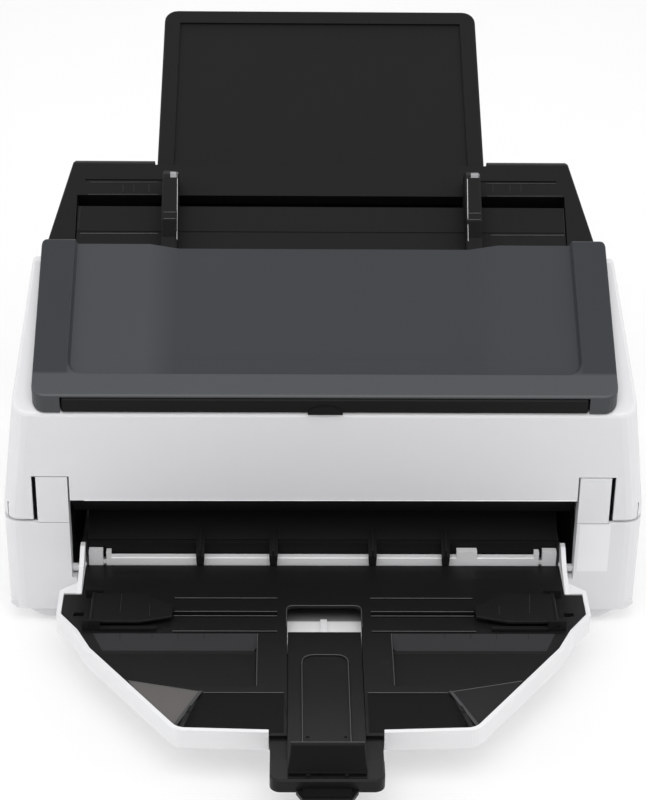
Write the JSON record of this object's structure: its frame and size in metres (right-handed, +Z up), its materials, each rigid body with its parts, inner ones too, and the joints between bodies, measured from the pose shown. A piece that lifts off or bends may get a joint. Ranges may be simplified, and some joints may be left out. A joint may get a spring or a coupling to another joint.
{
  "type": "document scanner",
  "caption": "Desktop sheet-fed document scanner with hinged feeder cover, hopper with side guides at the back and a folding paper stacker in front.",
  "frame": {"origin": "centre of the bounding box on the floor plane, under the feet", "axes": "-Y towards the user and the stacker, +Y towards the hopper, +Z up, +X to the right as seen from the front"},
  "size_m": [0.432, 0.637, 0.2943],
  "materials": {
    "black_plastic": "matt",
    "board": "lacquered circuit board",
    "dark_plastic": "satin",
    "glass": "clear",
    "grey_plastic": "satin",
    "rubber": "matt",
    "steel": "plain",
    "white_plastic": "fine satin texture"
  },
  "bodies": {
    "base": {"base_pan": "white_plastic", "cover_hinge_pin_left": "steel", "cover_hinge_pin_right": "steel", "drive_belt": "rubber", "drive_motor": "steel", "exit_bar": "grey_plastic", "foot_front_left": "rubber", "foot_front_right": "rubber", "foot_rear_left": "rubber", "foot_rear_right": "rubber", "front_cover": "white_plastic", "hopper_frame": "black_plastic", "lower_paper_guide": "black_plastic", "lower_scan_glass": "glass", "lower_scan_unit": "black_plastic", "main_board": "board", "power_inlet": "black_plastic", "power_supply": "steel", "rear_cover": "white_plastic", "side_cover_left": "white_plastic", "side_cover_right": "white_plastic", "side_frame_left": "black_plastic", "side_frame_right": "black_plastic", "usb_socket": "steel"},
    "cover": {"cover_shell": "white_plastic", "top_cover": "dark_plastic", "upper_frame": "black_plastic", "upper_scan_glass": "glass", "upper_scan_unit": "black_plastic"},
    "release_bar": {"release_bar": "black_plastic"},
    "eject_pinch": {"eject_pinch_roller": "rubber"},
    "feed_pinch": {"feed_pinch_roller": "rubber"},
    "separator_roller": {"separator_roller": "rubber"},
    "pick_rollers": {"pick_shaft": "steel", "pick_tyre_left": "rubber", "pick_tyre_right": "rubber"},
    "eject_roller": {"eject_shaft": "steel", "eject_tyre_left": "rubber", "eject_tyre_right": "rubber"},
    "feed_roller": {"feed_pulley": "black_plastic", "feed_shaft": "steel", "feed_tyre_left": "rubber", "feed_tyre_right": "rubber"},
    "brake_roller": {"brake_roller": "rubber"},
    "motor_pulley": {"motor_pulley": "steel"},
    "power_switch": {"power_switch": "black_plastic"},
    "table": {"hopper_table": "black_plastic"},
    "guide_right": {"hopper_guide_right": "black_plastic"},
    "guide_left": {"hopper_guide_left": "black_plastic"},
    "pinion": {"guide_pinion": "grey_plastic"},
    "extension": {"hopper_extension": "black_plastic"},
    "stacker": {"stacker_bed": "black_plastic", "stacker_tray": "white_plastic"},
    "slider_right": {"stacker_guide_slider_right": "black_plastic"},
    "slider_left": {"stacker_guide_slider_left": "black_plastic"},
    "paddle_right": {"stacker_guide_paddle_right": "black_plastic"},
    "paddle_left": {"stacker_guide_paddle_left": "black_plastic"},
    "stacker_extension": {"stacker_extension": "black_plastic"},
    "extension_pull": {"extension_pull": "black_plastic"},
    "stopper": {"sheet_stopper": "black_plastic"}
  },
  "joints": [
    {"name": "cover_hinge", "type": "hinge", "parent": "base", "child": "cover", "pos_m": [0, 0.1105, 0.125], "axis": [-1, 0, 0], "range_deg": [0, 33]},
    {"name": "release_lever", "type": "hinge", "parent": "cover", "child": "release_bar", "pos_m": [0, -0.0855, 0.17269], "axis": [-1, 0, 0], "range_deg": [0, 4], "stiffness_Nm_per_rad": 1.5, "springref_deg": -2.86},
    {"name": "eject_pinch_turn", "type": "hinge", "parent": "cover", "child": "eject_pinch", "pos_m": [0, -0.0502, 0.08133], "axis": [1, 0, 0], "continuous": true},
    {"name": "feed_pinch_turn", "type": "hinge", "parent": "cover", "child": "feed_pinch", "pos_m": [0, 0.01186, 0.12163], "axis": [1, 0, 0], "continuous": true},
    {"name": "separator_turn", "type": "hinge", "parent": "cover", "child": "separator_roller", "pos_m": [0, 0.0326, 0.13927], "axis": [1, 0, 0], "continuous": true},
    {"name": "pick_turn", "type": "hinge", "parent": "cover", "child": "pick_rollers", "pos_m": [0, 0.05166, 0.165], "axis": [1, 0, 0], "continuous": true},
    {"name": "eject_turn", "type": "hinge", "parent": "base", "child": "eject_roller", "pos_m": [0, -0.04105, 0.06724], "axis": [1, 0, 0], "continuous": true},
    {"name": "feed_turn", "type": "hinge", "parent": "base", "child": "feed_roller", "pos_m": [0, 0.02101, 0.10754], "axis": [1, 0, 0], "continuous": true},
    {"name": "brake_turn", "type": "hinge", "parent": "base", "child": "brake_roller", "pos_m": [0, 0.0442, 0.12141], "axis": [1, 0, 0], "continuous": true},
    {"name": "motor_turn", "type": "hinge", "parent": "base", "child": "motor_pulley", "pos_m": [0, 0.0315, 0.04], "axis": [1, 0, 0], "continuous": true},
    {"name": "power_rocker", "type": "hinge", "parent": "base", "child": "power_switch", "pos_m": [-0.14, 0.202, 0.045], "axis": [-1, 0, 0], "range_deg": [0, 16]},
    {"name": "table_lift", "type": "slide", "parent": "base", "child": "table", "axis": [0, -0.5446, 0.8387], "range_m": [0, 0.011]},
    {"name": "hopper_guide_slide", "type": "slide", "parent": "table", "child": "guide_right", "axis": [1, 0, 0], "range_m": [-0.066, 0.041]},
    {"name": "hopper_guide_left_slide", "type": "slide", "parent": "table", "child": "guide_left", "axis": [-1, 0, 0], "range_m": [-0.066, 0.041]},
    {"name": "guide_pinion_turn", "type": "hinge", "parent": "table", "child": "pinion", "pos_m": [0, 0.14023, 0.1957], "axis": [0, -0.5446, 0.8387], "range_deg": [-545, 545]},
    {"name": "hopper_extension_slide", "type": "slide", "parent": "base", "child": "extension", "axis": [0, 0.8387, 0.5446], "range_m": [-0.09, 0]},
    {"name": "stacker_fold", "type": "hinge", "parent": "base", "child": "stacker", "pos_m": [0, -0.0865, 0.041], "axis": [-1, 0, 0], "range_deg": [0, 64]},
    {"name": "stacker_guide_slide", "type": "slide", "parent": "stacker", "child": "slider_right", "axis": [1, 0, 0], "range_m": [-0.045, 0.0025]},
    {"name": "stacker_guide_left_slide", "type": "slide", "parent": "stacker", "child": "slider_left", "axis": [-1, 0, 0], "range_m": [-0.045, 0.0025]},
    {"name": "right_paddle_fold", "type": "hinge", "parent": "slider_right", "child": "paddle_right", "pos_m": [0.1535, -0.0865, 0.0455], "axis": [0, -1, 0], "range_deg": [-88, 0]},
    {"name": "left_paddle_fold", "type": "hinge", "parent": "slider_left", "child": "paddle_left", "pos_m": [-0.1535, -0.0865, 0.0455], "axis": [0, 1, 0], "range_deg": [-88, 0]},
    {"name": "stacker_extension_slide", "type": "slide", "parent": "stacker", "child": "stacker_extension", "axis": [0, -1, 0], "range_m": [-0.023, 0.055]},
    {"name": "extension_pull_slide", "type": "slide", "parent": "stacker_extension", "child": "extension_pull", "axis": [0, -1, 0], "range_m": [0, 0.05]},
    {"name": "stopper_fold", "type": "hinge", "parent": "stacker_extension", "child": "stopper", "pos_m": [0, -0.3055, 0.042], "axis": [-1, 0, 0], "range_deg": [0, 84]}
  ],
  "couplings": [
    {"joint": "eject_turn", "follows": "feed_turn", "ratio": 1},
    {"joint": "motor_turn", "follows": "feed_turn", "ratio": 1.5},
    {"joint": "feed_pinch_turn", "follows": "feed_turn", "ratio": -1.2},
    {"joint": "eject_pinch_turn", "follows": "feed_turn", "ratio": -1.2},
    {"joint": "separator_turn", "follows": "feed_turn", "ratio": -0.81818},
    {"joint": "pick_turn", "follows": "feed_turn", "ratio": -0.81818},
    {"joint": "hopper_guide_left_slide", "follows": "hopper_guide_slide", "ratio": 1},
    {"joint": "guide_pinion_turn", "follows": "hopper_guide_slide", "rad_per_m": 142.86},
    {"joint": "stacker_guide_left_slide", "follows": "stacker_guide_slide", "ratio": 1}
  ]
}
